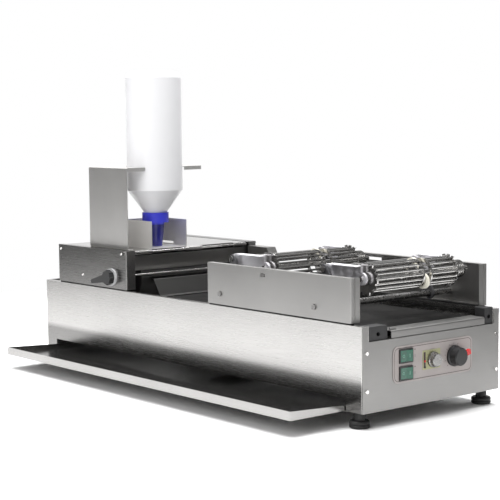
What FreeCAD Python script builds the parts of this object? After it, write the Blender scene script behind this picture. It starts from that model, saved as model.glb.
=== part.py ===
import FreeCAD, Part
import math
import os
from FreeCAD import Vector

# Conveyor crepe maker. All sizes are millimetres and all angles are degrees.
# X runs along the machine from its rear end to the control panel, Y from the tray side
# to the far side, and Z is up, with zero at the lower edge of the base housing.
# The finished pieces are moved together at the end, so that the origin lies on the
# floor under the middle of the whole machine with its tray pulled out.

# Sheet metal and clearances
sheet = 1.5
bend = 1.5
through = 1.0
fit = 0.05
screw_gap = 0.1

# Base housing
base_length = 1010.0
base_width = 350.0
base_height = 150.0
hem = 12.0
hem_end_gap = 1.0
rear_bay = 39.0
control_bay = 42.0
notch_height = 21.0
bulkhead_height = 112.0
panel_flange = 16.0
ear = 13.0
panel_cut = 27.0
panel_cut_corner = 4.0
panel_screw_inset = 9.0
panel_screw_low = 38.0
panel_screw_high = 104.0
panel_screw_radius = 2.0
screw_head_radius = 4.0
screw_head_height = 2.4
cowl_inset = 8.0
cowl_depth = 13.0
cowl_low_depth = 5.0
cowl_low = 79.0
cowl_high = 121.0

# Feet
foot_height = 29.0
foot_inset_x = 27.0
foot_inset_y = 18.0
foot_radius = 18.0
foot_neck_radius = 10.0
foot_flange = 13.0
foot_edge = 2.0
foot_groove = 1.2
stud_radius = 4.0
stud_rise = 12.0
stud_gap = 0.2
nut_radius = 7.0
nut_height = 6.0

# Drip tray, shown pulled out
tray_sheet = 1.2
tray_out = 126.0
tray_depth = 330.0
tray_gap = 2.0
tray_front_lip = 16.0
tray_lip = 9.5
tray_lift = 0.3
runner_leg = 14.0
runner_rise = 18.0
runner_end_gap = 0.5

# Hot plate
plate_start = 338.0
plate_near_inset = 69.0
plate_far_inset = 40.0
plate_drop = 14.0
plate_thickness = 12.0
plate_edge = 1.0
heater_strip_width = 12.0
heater_strip_thickness = 7.0
heater_half_span = 70.0
heater_bend = 30.0
heater_margin = 22.0
crossbar_leg = 20.0
crossbar_sheet = 2.0
crossbar_count = 3
crossbar_rear_inset = 82.0
crossbar_front_inset = 44.0

# Exit slide and the black blocks beside it
slide_reach = 26.0
slide_overlap = 8.0
slide_lip = 11.5
slide_tab_inset = 2.0
slide_tab_width = 16.0
slide_tab_rise = 6.0
slide_tab_setback = 6.5
slide_block_depth = 24.0
slide_block_drop = 30.0
slide_block_corner = 2.5
slide_bolt_radius = 4.0
slide_bolt_depth = 8.0
near_block_inset = 18.0
near_block_gap = 7.0
near_block_rise = -2.0
far_block_inset = 14.0
far_block_gap = 4.0
far_block_rise = 4.0

# Batter head, the rear upper unit
unit_lift = 3.0
strip_inset = 2.0
head_rear = 56.0
head_length = 257.0
head_height = 80.0
head_flange_near = 23.0
head_flange_far = 20.0
head_top_far = 24.0
cover_gap = 0.5
cover_fold = 12.0
cover_lid_gap = 1.5
hinge_radius = 2.5
hinge_inset = 7.0
hinge_drop = 5.0
hinge_head_radius = 4.0
hinge_head = 2.0
knuckle_radius = 4.5
knuckle_near_start = 8.0
knuckle_near_width = 47.0
knuckle_middle_shift = 10.5
knuckle_middle_width = 43.0
knuckle_far_width = 34.0
lid_rim = 8.0
lid_side_gap = 2.0
lid_rear_gap = 4.0
lid_cut_back = 7.0

# Bottle, its holder and the feed box on the lid
bottle_x = 256.0
bottle_y = 118.0
bottle_radius = 59.0
bottle_wall = 2.0
bottle_top = 603.0
bottle_corner = 12.0
shoulder_height = 354.0
neck_height = 306.0
neck_radius = 24.0
neck_length = 18.0
cap_radius = 28.5
cap_height = 21.0
cap_skin = 2.0
cap_gap = 0.2
spout_top_radius = 19.0
spout_end_radius = 13.5
spout_gap = 0.4
holder_side_gap = 98.0
holder_back_gap = 105.0
holder_front_gap = 36.0
holder_far_gap = 97.0
holder_height = 171.0
holder_foot = 14.0
holder_lip = 8.0
notch_clearance = 3.4
box_near_gap = 44.0
box_far_gap = 48.0
box_back_gap = 54.0
box_front_gap = 46.0
box_height = 58.0
box_sheet = 1.2
slot_length = 42.0
slot_height = 5.0
slot_rise = 3.5
feed_hole_radius = 8.0

# Heated drum, its bearings and the batter trough
drum_x = 246.0
drum_rise = 21.0
drum_radius = 51.0
drum_wall = 4.0
drum_near_inset = 50.0
drum_far_inset = 60.0
drum_end = 5.0
drum_heater_count = 3
drum_heater_radius = 4.0
drum_heater_gap = 13.0
drum_heater_turn = 29.0
shaft_radius = 8.0
shaft_overhang = 3.0
shaft_end = 2.0
block_width = 34.0
block_depth = 22.0
block_rise = 37.0
block_near_gap = 4.0
block_far_gap = 14.0
shelf_drop = 10.0
shelf_sheet = 2.0
shelf_leg = 26.0
trough_sheet = 1.5
trough_gap = 2.2
trough_lean = 21.0
trough_bow = 6.5
trough_top_gap = 1.5
dam_gap = 1.0
dam_seat = 0.3
dam_low_reach = 26.0
dam_low_rise = 4.0
dam_high_reach = 40.0
peel_bar_radius = 3.0
peel_bar_rise = 31.5
peel_bar_gap = 0.3
blade_gap = 1.2
blade_inset = 5.0
blade_tip_drop = 5.0
blade_root_drop = 1.5
blade_tip_thickness = 0.5
blade_root_thickness = 1.5
transfer_gap = 3.5
transfer_drop = 8.5
transfer_fall = 3.0
transfer_back = 3.0
transfer_lap = 14.0

# Hand lever
lever_x = 261.0
lever_rise = 26.0
lever_arm = 56.0
lever_drop = 12.0
lever_root_radius = 9.0
lever_tip_radius = 4.5
lever_thickness = 7.0
lever_hub_radius = 14.0
lever_hub_depth = 11.7
lever_hub_gap = 0.3
lever_arm_inset = 2.2
lever_rib_count = 8
lever_rib_radius = 1.8
lever_rib_inset = 0.7
lever_pin_radius = 5.0
lever_pin_end = 8.0
collar_step = 3.5
collar_gap = 0.5
collar_width = 5.0
bush_radius = 18.5
bush_thickness = 4.0

# Chain drive and its guard
sprocket_radius = 20.0
sprocket_teeth = 14
motor_sprocket_radius = 13.0
motor_sprocket_teeth = 9
sprocket_tooth = 4.0
chain_width = 7.0
chain_gap = 2.0
chain_side = 1.0
chain_clearance = 0.6
chain_thickness = 4.0
chain_reach = 354.0
chain_gate_height = 29.0
motor_half = 34.0
motor_corner = 4.0
motor_radius = 30.0
motor_length = 92.0
motor_cap_step = 5.0
motor_cap_length = 8.0
gearbox_depth = 38.0
gearbox_gap = 14.0
motor_shaft_radius = 6.0
motor_shaft_depth = 18.0
motor_bore_depth = 20.0
motor_shelf_top = 26.0
motor_shelf_sheet = 2.0
motor_shelf_margin = 6.0
motor_shelf_rise = 14.0
guard_gap = 0.5
guard_rise = 74.0
guard_length = 77.0
guard_depth = 24.5
guard_slope = 13.0
guard_fall = 22.0

# Turner, the front upper unit
turner_setback = 29.0
turner_length = 395.0
turner_height = 78.0
turner_flange = 22.0
flange_groove_inset = 10.0
flange_groove_width = 1.2
flange_groove_depth = 0.7
near_window_start = 156.0
near_window_length = 14.0
near_window_drop = 16.0
near_window_height = 7.0
far_window_start = 51.0
far_window_length = 69.0
far_window_drop = 14.0
far_window_height = 6.0
tie_radius = 6.0
tie_rise = 20.0
tie_rear_inset = 37.0
tie_front_inset = 93.0
tie_screw_radius = 3.0
tie_head_radius = 5.0
tie_head = 2.5
pivot_radius = 4.0
pivot_rise = 81.0
pivot_rear_inset = 9.0
pivot_front_inset = 125.0
pivot_head_radius = 6.0
pivot_head = 2.0
pivot_overhang = 1.0
upright_thickness = 5.0
upright_gap = 3.0
upright_foot_radius = 11.0
upright_crown_radius = 8.5
stop_reach = 13.0
stop_radius = 3.5
stop_gap = 0.3
arm_length = 89.0
arm_thickness = 5.0
arm_gap = 4.0
arm_rise = 11.0
arm_root_radius = 8.0
arm_end_radius = 11.0
arm_flange = 13.0
arm_flange_start = 12.0
arm_flange_stop = 2.0
arm_tie_reach = 24.0
arm_tie_drop = 1.0
arm_tie_radius = 3.0
axle_drop = 12.0
axle_radius = 5.0
axle_near_end = 4.0
axle_far_end = 42.0
hub_radius = 17.0
hub_width = 20.0
hub_gap = 1.5
hub_rib_count = 5
hub_rib_width = 2.0
hub_groove_depth = 1.5
cage_radius = 26.0
cage_near_inset = 70.0
cage_far_inset = 70.0
cage_middle_shift = 27.0
cage_rod_radius = 2.0
cage_rod_sides = 12
cage_rod_count = 16
tooth_count = 16
tooth_height = 4.0
disc_thickness = 3.0
inner_disc_thickness = 2.5
inner_disc_rim = 1.0
inner_gap = 17.0
link_gap = 1.5
link_thickness = 4.0
link_radius = 9.0
link_lean = -45.0
ring_radius = 13.8
ring_bore = 5.0
ring_width = 6.0
ring_offset = 19.2
pin_overhang = 1.5

# Controls
control_plate_near = 72.0
control_plate_far = 275.0
control_plate_low = 43.0
control_plate_high = 108.0
control_plate_sheet = 1.2
control_plate_corner = 12.0
shaft_hole_radius = 5.0
spindle_radius = 3.0
spindle_length = 12.0
switch_y = 103.0
switch_length = 34.0
switch_height = 25.5
switch_low = 59.5
switch_high = 90.0
switch_rim_lap = 1.5
switch_tub_gap = 0.2
switch_corner = 1.5
switch_depth = 22.0
switch_well_depth = 10.0
bezel_rim = 2.5
bezel_proud = 2.0
rocker_depth = 4.0
rocker_rise = 4.6
rocker_dip = 1.6
rocker_tilt = 7.0
rocker_end_gap = 0.9
rocker_side_gap = 0.3
rocker_taper = 2.0
rocker_shoulder = 0.4
rocker_setback = 1.0
speed_y = 170.0
dial_z = 76.0
dial_near = 25.0
dial_far = 20.0
dial_low = 16.5
dial_high = 18.0
dial_sheet = 0.8
dial_corner = 1.0
speed_knob_radius = 14.0
speed_knob_depth = 13.0
speed_knob_gap = 0.5
speed_skirt = 4.0
speed_body_radius = 12.0
speed_body_depth = 18.0
thermostat_y = 226.0
thermostat_knob_radius = 19.0
thermostat_knob_depth = 20.0
thermostat_knob_gap = 0.6
thermostat_skirt = 3.5
flute_count = 12
flute_radius = 2.6
flute_offset = 0.6
flute_start = 5.0
pointer_angle = 15.0
pointer_width = 9.0
pointer_depth = 6.0
pointer_setback = 9.0
pointer_seat = 4.0
pointer_reach = 8.0
thermostat_body_width = 40.0
thermostat_body_height = 36.0
thermostat_body_depth = 24.0
spindle_hole_depth = 14.0

# Places that follow from the sizes above
top_z = base_height + unit_lift
plate_side_near = plate_near_inset
plate_side_far = base_width - plate_far_inset
plate_top = base_height - plate_drop
plate_end = base_length - slide_reach
tray_x0 = rear_bay + tray_gap
tray_x1 = base_length - control_bay - tray_gap
head_front = head_rear + head_length
head_top = top_z + head_height
hinge_x = head_front - hinge_inset
hinge_z = head_top - hinge_drop
lid_top = hinge_z + knuckle_radius
lid_near = hem + lid_side_gap
lid_far = base_width - head_top_far - lid_side_gap
drum_z = base_height + drum_rise
drum_start = drum_near_inset
drum_stop = base_width - drum_far_inset
shelf_top = base_height - shelf_drop
block_near = drum_start - block_near_gap - block_depth
block_far = drum_stop + block_far_gap
chain_y = block_far + block_depth + chain_gap
peel_bar_z = base_height + peel_bar_rise
lever_z = base_height + lever_rise
motor_x = drum_x + chain_reach
motor_z = motor_shelf_top + motor_half
gearbox_far = chain_y - gearbox_gap
turner_front = base_length - turner_setback
turner_rear = turner_front - turner_length
turner_top = top_z + turner_height
tie_places = (turner_rear + tie_rear_inset, turner_front - tie_front_inset)
tie_z = top_z + tie_rise
pivot_places = (turner_rear + pivot_rear_inset, turner_front - pivot_front_inset)
pivot_z = top_z + pivot_rise
axle_z = pivot_z - axle_drop
cage_near = cage_near_inset
cage_far = base_width - cage_far_inset
cage_middle = base_width / 2 + cage_middle_shift
arm_near = cage_near - arm_gap - arm_thickness
arm_far = cage_far + arm_gap
upright_near = arm_near - upright_gap - upright_thickness
upright_far = arm_far + arm_thickness + upright_gap
link_start = cage_middle - inner_gap / 2 + link_gap
plate_face = base_length + control_plate_sheet
dial_face = plate_face + dial_sheet


# Shapes

def box(x0, y0, z0, x1, y1, z1):
    return Part.makeBox(x1 - x0, y1 - y0, z1 - z0, Vector(x0, y0, z0))


def rod_x(y, z, radius, x0, x1):
    return Part.makeCylinder(radius, x1 - x0, Vector(x0, y, z), Vector(1, 0, 0))


def rod_y(x, z, radius, y0, y1):
    return Part.makeCylinder(radius, y1 - y0, Vector(x, y0, z), Vector(0, 1, 0))


def rod_z(x, y, radius, z0, z1):
    return Part.makeCylinder(radius, z1 - z0, Vector(x, y, z0), Vector(0, 0, 1))


def bored(solid, x, z, radius, y0, y1):
    """The solid with a round hole along Y, cut past both of its faces."""
    return solid.cut(rod_y(x, z, radius, y0 - through, y1 + through))


def place(u, v, along, level):
    """A point of a flat outline that is extruded along one axis."""
    if along == "x":
        return Vector(level, u, v)
    if along == "y":
        return Vector(u, level, v)
    return Vector(u, v, level)


def extruded(edges, along, start, end):
    reach = place(0, 0, along, end - start)
    return Part.Face(Part.Wire(edges)).extrude(reach)


def prism(points, along, start, end):
    """A straight-sided outline, given in the plane across one axis, extruded along it."""
    corners = [place(u, v, along, start) for u, v in points]
    return extruded(Part.makePolygon(corners + corners[:1]).Edges, along, start, end)


def circle_points(u, v, radius, count):
    """Evenly spaced points on a circle."""
    turns = [2 * math.pi * k / count for k in range(count)]
    return [(u + radius * math.cos(turn), v + radius * math.sin(turn)) for turn in turns]


def rounded_plate(u0, v0, u1, v1, radius, along, start, end):
    """A rectangle with round corners, extruded along one axis."""
    inset = radius * (1 - math.sqrt(0.5))
    quarters = (
        ((u1 - radius, v0), (u1 - inset, v0 + inset), (u1, v0 + radius)),
        ((u1, v1 - radius), (u1 - inset, v1 - inset), (u1 - radius, v1)),
        ((u0 + radius, v1), (u0 + inset, v1 - inset), (u0, v1 - radius)),
        ((u0, v0 + radius), (u0 + inset, v0 + inset), (u0 + radius, v0)),
    )
    edges = []
    last = quarters[-1][-1]
    for quarter in quarters:
        first, middle, final = [place(u, v, along, start) for u, v in quarter]
        edges.append(Part.LineSegment(place(*last, along, start), first).toShape())
        edges.append(Part.Arc(first, middle, final).toShape())
        last = quarter[-1]
    return extruded(edges, along, start, end)


def bent_sheet(path, thickness, along, start, end, inner=bend):
    """Sheet metal bent along a middle line, with a round bend at each inner point."""
    middle = inner + thickness / 2
    points = [Vector(u, v, 0) for u, v in path]
    runs = [(b - a).normalize() for a, b in zip(points[:-1], points[1:])]
    shapes = []
    ends = []
    for offset in (thickness / 2, -thickness / 2):
        spots = [points[0] + across(runs[0]) * offset]
        ends.append(spots[0])
        for point, arrive, leave in zip(points[1:-1], runs[:-1], runs[1:]):
            side = 1 if arrive.x * leave.y - arrive.y * leave.x > 0 else -1
            cut = middle * math.tan(arrive.getAngle(leave) / 2)
            centre = point - arrive * cut + across(arrive) * (side * middle)
            bulge = (point - centre).normalize() * (middle - side * offset)
            arc = [point - arrive * cut + across(arrive) * offset, centre + bulge,
                   point + leave * cut + across(leave) * offset]
            shapes.append(Part.LineSegment(*on_level([spots[-1], arc[0]], along, start)).toShape())
            shapes.append(Part.Arc(*on_level(arc, along, start)).toShape())
            spots.append(arc[-1])
        last = points[-1] + across(runs[-1]) * offset
        shapes.append(Part.LineSegment(*on_level([spots[-1], last], along, start)).toShape())
        ends.append(last)
    for first, second in ((ends[0], ends[2]), (ends[1], ends[3])):
        shapes.append(Part.LineSegment(*on_level([first, second], along, start)).toShape())
    return extruded(Part.__sortEdges__(shapes), along, start, end)


def across(run):
    """The direction to the left of a run in its own plane."""
    return Vector(-run.y, run.x, 0)


def on_level(points, along, level):
    return [place(p.x, p.y, along, level) for p in points]


def stadium(u0, v0, u1, v1, radius0, radius1, along, start, end):
    """The outline round two circles, joined by their outer tangents."""
    heading = math.atan2(v1 - v0, u1 - u0)
    lean = math.acos((radius0 - radius1) / math.hypot(u1 - u0, v1 - v0))

    def at(u, v, radius, angle):
        return place(u + radius * math.cos(angle), v + radius * math.sin(angle), along, start)
    first = [at(u0, v0, radius0, heading + turn) for turn in (lean, math.pi, -lean)]
    second = [at(u1, v1, radius1, heading + turn) for turn in (-lean, 0, lean)]
    edges = [
        Part.Arc(*first).toShape(),
        Part.LineSegment(first[-1], second[0]).toShape(),
        Part.Arc(*second).toShape(),
        Part.LineSegment(second[-1], first[0]).toShape(),
    ]
    return extruded(edges, along, start, end)


def turned(points, centre, direction):
    """A solid of revolution: points are (radius, distance along the axis)."""
    corners = [Vector(r, 0, h) for r, h in points]
    face = Part.Face(Part.makePolygon(corners + corners[:1]))
    solid = face.revolve(Vector(0, 0, 0), Vector(0, 0, 1), 360)
    turn = FreeCAD.Rotation(Vector(0, 0, 1), direction)
    solid.Placement = FreeCAD.Placement(centre, turn)
    return solid


def headed_rod(x, z, radius, head_radius, head, y0, y1):
    """A rod along Y with a flat head outside each end."""
    outline = [(0, y0 - head), (head_radius, y0 - head), (head_radius, y0), (radius, y0),
               (radius, y1), (head_radius, y1), (head_radius, y1 + head), (0, y1 + head)]
    return turned(outline, Vector(x, 0, z), Vector(0, 1, 0))


def toothed_wheel(x, z, tip, root, teeth, bore, y0, y1):
    """Wheel with tapered teeth round a bore."""
    root_share = 0.25
    tip_shares = (0.42, 0.83)
    step = 2 * math.pi / teeth
    points = []
    for k in range(teeth):
        for share, radius in ((0.0, root), (root_share, root), *((s, tip) for s in tip_shares)):
            angle = (k + share) * step
            points.append((x + radius * math.cos(angle), z + radius * math.sin(angle)))
    return bored(prism(points, "y", y0, y1), x, z, bore, y0, y1)


def group(solids):
    return Part.makeCompound(solids)


# Base housing

def panel_screw_places():
    sides = (panel_screw_inset, base_width - panel_screw_inset)
    return [(y, z) for y in sides for z in (panel_screw_low, panel_screw_high)]


def base_shell():
    """Rear wall and both long sides, folded from one sheet, with hems along the top."""
    half = sheet / 2
    front = base_length - sheet - half
    far = base_width - half
    wrap = bent_sheet(
        [(front, panel_flange), (front, half), (half, half), (half, far), (front, far),
         (front, base_width - panel_flange)], sheet, "z", 0, base_height)
    hem_stop = base_length - 2 * sheet - hem_end_gap
    hems = [box(sheet, y0, base_height - sheet, hem_stop, y1, base_height)
            for y0, y1 in ((sheet, hem), (base_width - hem, base_width - sheet))]
    shell = wrap.fuse(hems)
    shell = shell.cut(box(rear_bay, -through, -through, base_length - control_bay,
                          sheet + through, notch_height))
    for y, z in panel_screw_places():
        shell = shell.cut(rod_x(y, z, panel_screw_radius + screw_gap, base_length - 3 * sheet,
                                base_length))
    return shell.removeSplitter()


def front_panel():
    """Control end, with two ears at its top corners and the exit gap between them."""
    x0 = base_length - sheet
    panel = box(x0, 0, 0, base_length, base_width, base_height)
    gap = rounded_plate(ear, base_height - panel_cut, base_width - ear,
                        base_height + 2 * panel_cut_corner, panel_cut_corner, "x",
                        x0 - through, base_length + through)
    panel = panel.cut(gap)
    for y, z in panel_screw_places():
        panel = panel.cut(rod_x(y, z, panel_screw_radius + screw_gap, x0 - through,
                                base_length + through))
    return control_openings(panel, x0, base_length)


def front_screws():
    """Pan heads that hold the control end to the flanges of the housing."""
    crown = 0.8 * screw_head_radius
    outline = [(0, -2 * sheet), (panel_screw_radius, -2 * sheet), (panel_screw_radius, 0),
               (screw_head_radius, 0), (crown, screw_head_height), (0, screw_head_height)]
    return [turned(outline, Vector(base_length, y, z), Vector(1, 0, 0))
            for y, z in panel_screw_places()]


def bulkhead(wall_x, floor_x, feet_x):
    """Upright wall beside the tray, folded out below into the floor that the feet hold."""
    half = sheet / 2
    wall = bent_sheet([(floor_x, half), (wall_x, half), (wall_x, bulkhead_height)],
                      sheet, "y", sheet, base_width - sheet)
    for y in (foot_inset_y, base_width - foot_inset_y):
        wall = wall.cut(rod_z(feet_x, y, stud_radius + stud_gap, -through, sheet + through))
    return wall


def bulkheads():
    half = sheet / 2
    rear = bulkhead(rear_bay - sheet - half, sheet + bend, foot_inset_x)
    front = bulkhead(base_length - control_bay + sheet + half, base_length - 2 * sheet - bend,
                     base_length - foot_inset_x)
    return group([rear, front])


def rear_cowl():
    """Slanted air cover on the rear wall, open below."""
    knee = cowl_high - cowl_low_depth
    outer = prism([(0, cowl_low), (-cowl_low_depth, cowl_low), (-cowl_depth, knee),
                   (-cowl_depth, cowl_high), (0, cowl_high)],
                  "y", cowl_inset, base_width - cowl_inset)
    inner = prism([(0, cowl_low - through), (sheet - cowl_low_depth, cowl_low - through),
                   (sheet - cowl_depth, knee), (sheet - cowl_depth, cowl_high - sheet),
                   (0, cowl_high - sheet)],
                  "y", cowl_inset + sheet, base_width - cowl_inset - sheet)
    return outer.cut(inner)


def foot_places():
    xs = (foot_inset_x, base_length - foot_inset_x)
    ys = (foot_inset_y, base_width - foot_inset_y)
    return [(x, y) for x in xs for y in ys]


def foot(x, y):
    """Adjustable foot: flange with a groove round it, neck and stud."""
    low = -foot_height
    top = low + foot_flange
    groove = (low + top) / 2
    outline = [
        (0, low), (foot_radius - foot_edge, low), (foot_radius, low + foot_edge),
        (foot_radius, groove - foot_groove), (foot_radius - foot_groove, groove),
        (foot_radius, groove + foot_groove), (foot_radius, top - foot_edge),
        (foot_radius - foot_edge, top), (foot_neck_radius, top), (foot_neck_radius, 0),
        (stud_radius, 0), (stud_radius, stud_rise), (0, stud_rise)]
    return turned(outline, Vector(x, y, 0), Vector(0, 0, 1))


def foot_nuts():
    """Hexagon nuts on the studs, over the bay floors."""
    nuts = []
    for x, y in foot_places():
        nut = prism(circle_points(x, y, nut_radius, 6), "z", sheet, sheet + nut_height)
        nuts.append(nut.cut(rod_z(x, y, stud_radius, 0, stud_rise)))
    return nuts


# Drip tray

def drip_tray():
    """Shallow folded tray with a taller front lip and side lips that rise towards it."""
    y0 = -tray_out
    y1 = tray_depth - tray_out
    z0 = tray_lift
    solid = prism([(y0, z0), (y1, z0), (y1, z0 + tray_lip), (0, z0 + tray_lip),
                   (y0, z0 + tray_front_lip)], "x", tray_x0, tray_x1)
    hollow = box(tray_x0 + tray_sheet, y0 + tray_sheet, z0 + tray_sheet,
                 tray_x1 - tray_sheet, y1 - tray_sheet, z0 + tray_front_lip + through)
    return solid.cut(hollow)


def tray_runners():
    """Two angles on the bulkheads that the tray slides on."""
    half = sheet / 2
    rails = []
    for wall, inward in ((rear_bay, 1), (base_length - control_bay, -1)):
        upright = wall - inward * half
        line = [(upright, runner_rise), (upright, -half), (wall + inward * runner_leg, -half)]
        rails.append(bent_sheet(line, sheet, "y", sheet + runner_end_gap,
                                base_width - sheet - runner_end_gap))
    return group(rails)


# Hot plate

def hotplate():
    """Long dark plate that the crepes travel over, with an eased edge all round."""
    plate = box(plate_start, plate_side_near, plate_top - plate_thickness, plate_end,
                plate_side_far, plate_top)
    edges = [e for e in plate.Edges if e.BoundBox.ZMin > plate_top - plate_edge]
    return plate.makeChamfer(plate_edge, edges)


def crossbar_places():
    first = plate_start + crossbar_rear_inset
    last = plate_end - crossbar_front_inset
    step = (last - first) / (crossbar_count - 1)
    return [first + k * step for k in range(crossbar_count)]


def hotplate_crossbars():
    """Angles across the base that carry the hot plate."""
    half = crossbar_sheet / 2
    top = plate_top - plate_thickness
    bars = []
    for x in crossbar_places():
        line = [(x, top - crossbar_leg), (x, top - half), (x + crossbar_leg, top - half)]
        bars.append(bent_sheet(line, crossbar_sheet, "y", sheet, base_width - sheet))
    return group(bars)


def hotplate_heaters():
    """Hairpin strip heaters pressed up against the hot plate, one in each bay."""
    top = plate_top - plate_thickness
    middle = (plate_side_near + plate_side_far) / 2
    near = middle - heater_half_span
    far = middle + heater_half_span
    strips = []
    places = crossbar_places()
    for start, end in zip(places[:-1], places[1:]):
        x0 = start + crossbar_leg + heater_margin
        x1 = end - heater_margin
        line = [(x0, near), (x1, near), (x1, far), (x0, far)]
        strips.append(bent_sheet(line, heater_strip_width, "z", top - heater_strip_thickness, top,
                                 heater_bend))
    return group(strips)


def exit_slide():
    """Folded end strip that hands the crepes out over the control end."""
    half = sheet / 2
    top = plate_top + half
    line = [(plate_end - slide_overlap, top), (base_length - half, top),
            (base_length - half, plate_top - slide_lip)]
    strip = bent_sheet(line, sheet, "y", plate_side_near, plate_side_far)
    tab_x = base_length - slide_tab_setback
    tab_y = plate_side_near + slide_tab_inset
    tab = box(tab_x - sheet, tab_y, top, tab_x, tab_y + slide_tab_width,
              plate_top + slide_tab_rise)
    return strip.fuse(tab).removeSplitter()


def slide_block(y0, y1, rise):
    """Black block at one end of the exit slide, with round edges and a bolt hole."""
    x1 = base_length - 2 * sheet
    z0 = base_height - slide_block_drop
    z1 = base_height + rise
    block = rounded_plate(y0, z0, y1, z1, slide_block_corner, "x", x1 - slide_block_depth, x1)
    return block.cut(rod_x((y0 + y1) / 2, (z0 + z1) / 2, slide_bolt_radius,
                           x1 - slide_bolt_depth, x1 + through))


def slide_blocks():
    near = slide_block(near_block_inset, plate_side_near - near_block_gap, near_block_rise)
    far = slide_block(plate_side_far + far_block_gap, base_width - far_block_inset,
                      far_block_rise)
    return group([near, far])


# Batter head

def side_plate(x0, x1, height, near, flange, top_flange):
    """Upright side of an upper unit, with folds along its front, top and bottom."""
    half = sheet / 2
    z1 = top_z + height
    wall = half if near else base_width - half
    edge = flange if near else base_width - flange
    plate = bent_sheet([(x0, wall), (x1 - half, wall), (x1 - half, edge)], sheet, "z", top_z, z1)
    folds = []
    for width, z in ((hem, top_z), (top_flange, z1 - sheet)):
        y0, y1 = (half, width) if near else (base_width - width, base_width - half)
        folds.append(box(x0, y0, z, x1 - sheet, y1, z + sheet))
    return plate.fuse(folds)


def head_plate_near():
    """Near side of the head, drilled for the hinge rod and the lever."""
    plate = side_plate(head_rear, head_front, head_height, True, head_flange_near, hem)
    plate = bored(plate, hinge_x, hinge_z, hinge_radius + fit, 0, sheet)
    return bored(plate, lever_x, lever_z, lever_pin_radius + fit, 0, sheet).removeSplitter()


def head_plate_far():
    """Far side of the head, drilled for the hinge rod, with the gate for the chain."""
    plate = side_plate(head_rear, head_front, head_height, False, head_flange_far, head_top_far)
    plate = bored(plate, hinge_x, hinge_z, hinge_radius + fit, base_width - sheet, base_width)
    gate = box(head_front - 2 * sheet, base_width - head_flange_far - through, top_z - through,
               head_front + through, chain_y + chain_width + chain_gap,
               top_z + chain_gate_height)
    return plate.cut(gate).removeSplitter()


def head_rear_cover():
    """Rear wall of the batter head, with a fold inward along its top."""
    half = sheet / 2
    wall_x = head_rear + half
    top = lid_top - lid_rim - cover_lid_gap
    line = [(wall_x, base_height + cover_gap), (wall_x, top - half),
            (wall_x + cover_fold, top - half)]
    return bent_sheet(line, sheet, "y", hem + cover_gap, base_width - hem - cover_gap)


def seat_strips():
    """Black strips on the top hems that the upper units stand on."""
    strips = []
    for x0, x1 in ((head_rear, head_front), (turner_rear, turner_front)):
        for y0 in (strip_inset, base_width - hem):
            strips.append(box(x0 + strip_inset, y0, base_height, x1 - 2 * strip_inset,
                              y0 + hem - strip_inset, top_z))
    return group(strips)


def hinge_rod():
    """Lid hinge rod, with a flat head outside each side plate."""
    return headed_rod(hinge_x, hinge_z, hinge_radius, hinge_head_radius, hinge_head, 0, base_width)


def knuckle_spans():
    """Start and end of each rolled knuckle of the lid."""
    near = lid_near + knuckle_near_start
    middle = (lid_near + lid_far - knuckle_middle_width) / 2 + knuckle_middle_shift
    return [(near, near + knuckle_near_width), (middle, middle + knuckle_middle_width),
            (lid_far - knuckle_far_width, lid_far)]


def lid():
    """Top cover of the batter head, rolled into three knuckles round the hinge rod."""
    x0 = head_rear + lid_rear_gap
    x1 = hinge_x - lid_cut_back
    low = lid_top - lid_rim
    shell = box(x0, lid_near, low, x1, lid_far, lid_top)
    hollow = box(x0 + sheet, lid_near + sheet, low - through, x1 + through, lid_far - sheet,
                 lid_top - sheet)
    cover = shell.cut(hollow)
    rolls = []
    for y0, y1 in knuckle_spans():
        rolls.append(rod_y(hinge_x, hinge_z, knuckle_radius, y0, y1))
        rolls.append(box(x1 - sheet, y0, lid_top - sheet, hinge_x, y1, lid_top))
    cover = cover.fuse(rolls)
    cover = bored(cover, hinge_x, hinge_z, hinge_radius + fit, 0, base_width)
    hole = rod_z(bottle_x, bottle_y, feed_hole_radius, low - through, lid_top + through)
    return cover.cut(hole).removeSplitter()


def feed_box():
    """Open-fronted box on the lid that takes the spout of the bottle."""
    x0 = bottle_x - box_back_gap
    x1 = bottle_x + box_front_gap
    y0 = bottle_y - box_near_gap
    y1 = bottle_y + box_far_gap
    z0 = lid_top
    z1 = z0 + box_height
    shell = box(x0, y0, z0, x1, y1, z1)
    hollow = box(x0 + box_sheet, y0 + box_sheet, z0 + box_sheet, x1 + through, y1 - box_sheet,
                 z1 + through)
    shell = shell.cut(hollow)
    slot_z = z0 + slot_rise
    slot = rounded_plate(bottle_x - slot_length, slot_z, bottle_x, slot_z + slot_height,
                         slot_height / 2.1, "y", y1 - 2 * box_sheet, y1 + through)
    hole = rod_z(bottle_x, bottle_y, feed_hole_radius, z0 - through, z0 + 2 * box_sheet)
    return shell.cut([slot, hole])


def bottle_holder():
    """Upright plate and notched shelf that steady the bottle, folded from one sheet."""
    half = sheet / 2
    x0 = bottle_x - holder_back_gap
    x1 = bottle_x + holder_front_gap
    y0 = bottle_y - holder_side_gap
    y1 = bottle_y + holder_far_gap
    z0 = lid_top
    z1 = z0 + holder_height
    line = [(y0 + holder_foot, z0 + half), (y0 + half, z0 + half), (y0 + half, z1 - half),
            (y1, z1 - half)]
    plate = bent_sheet(line, sheet, "x", x0, x1)
    lip = box(x1 - sheet, y0 + sheet, z1 - holder_lip, x1, y1, z1 - half)
    notch = rod_z(bottle_x, bottle_y, bottle_radius + notch_clearance,
                  z1 - holder_lip - through, z1 + through)
    return plate.fuse(lip).cut(notch).removeSplitter()


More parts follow.
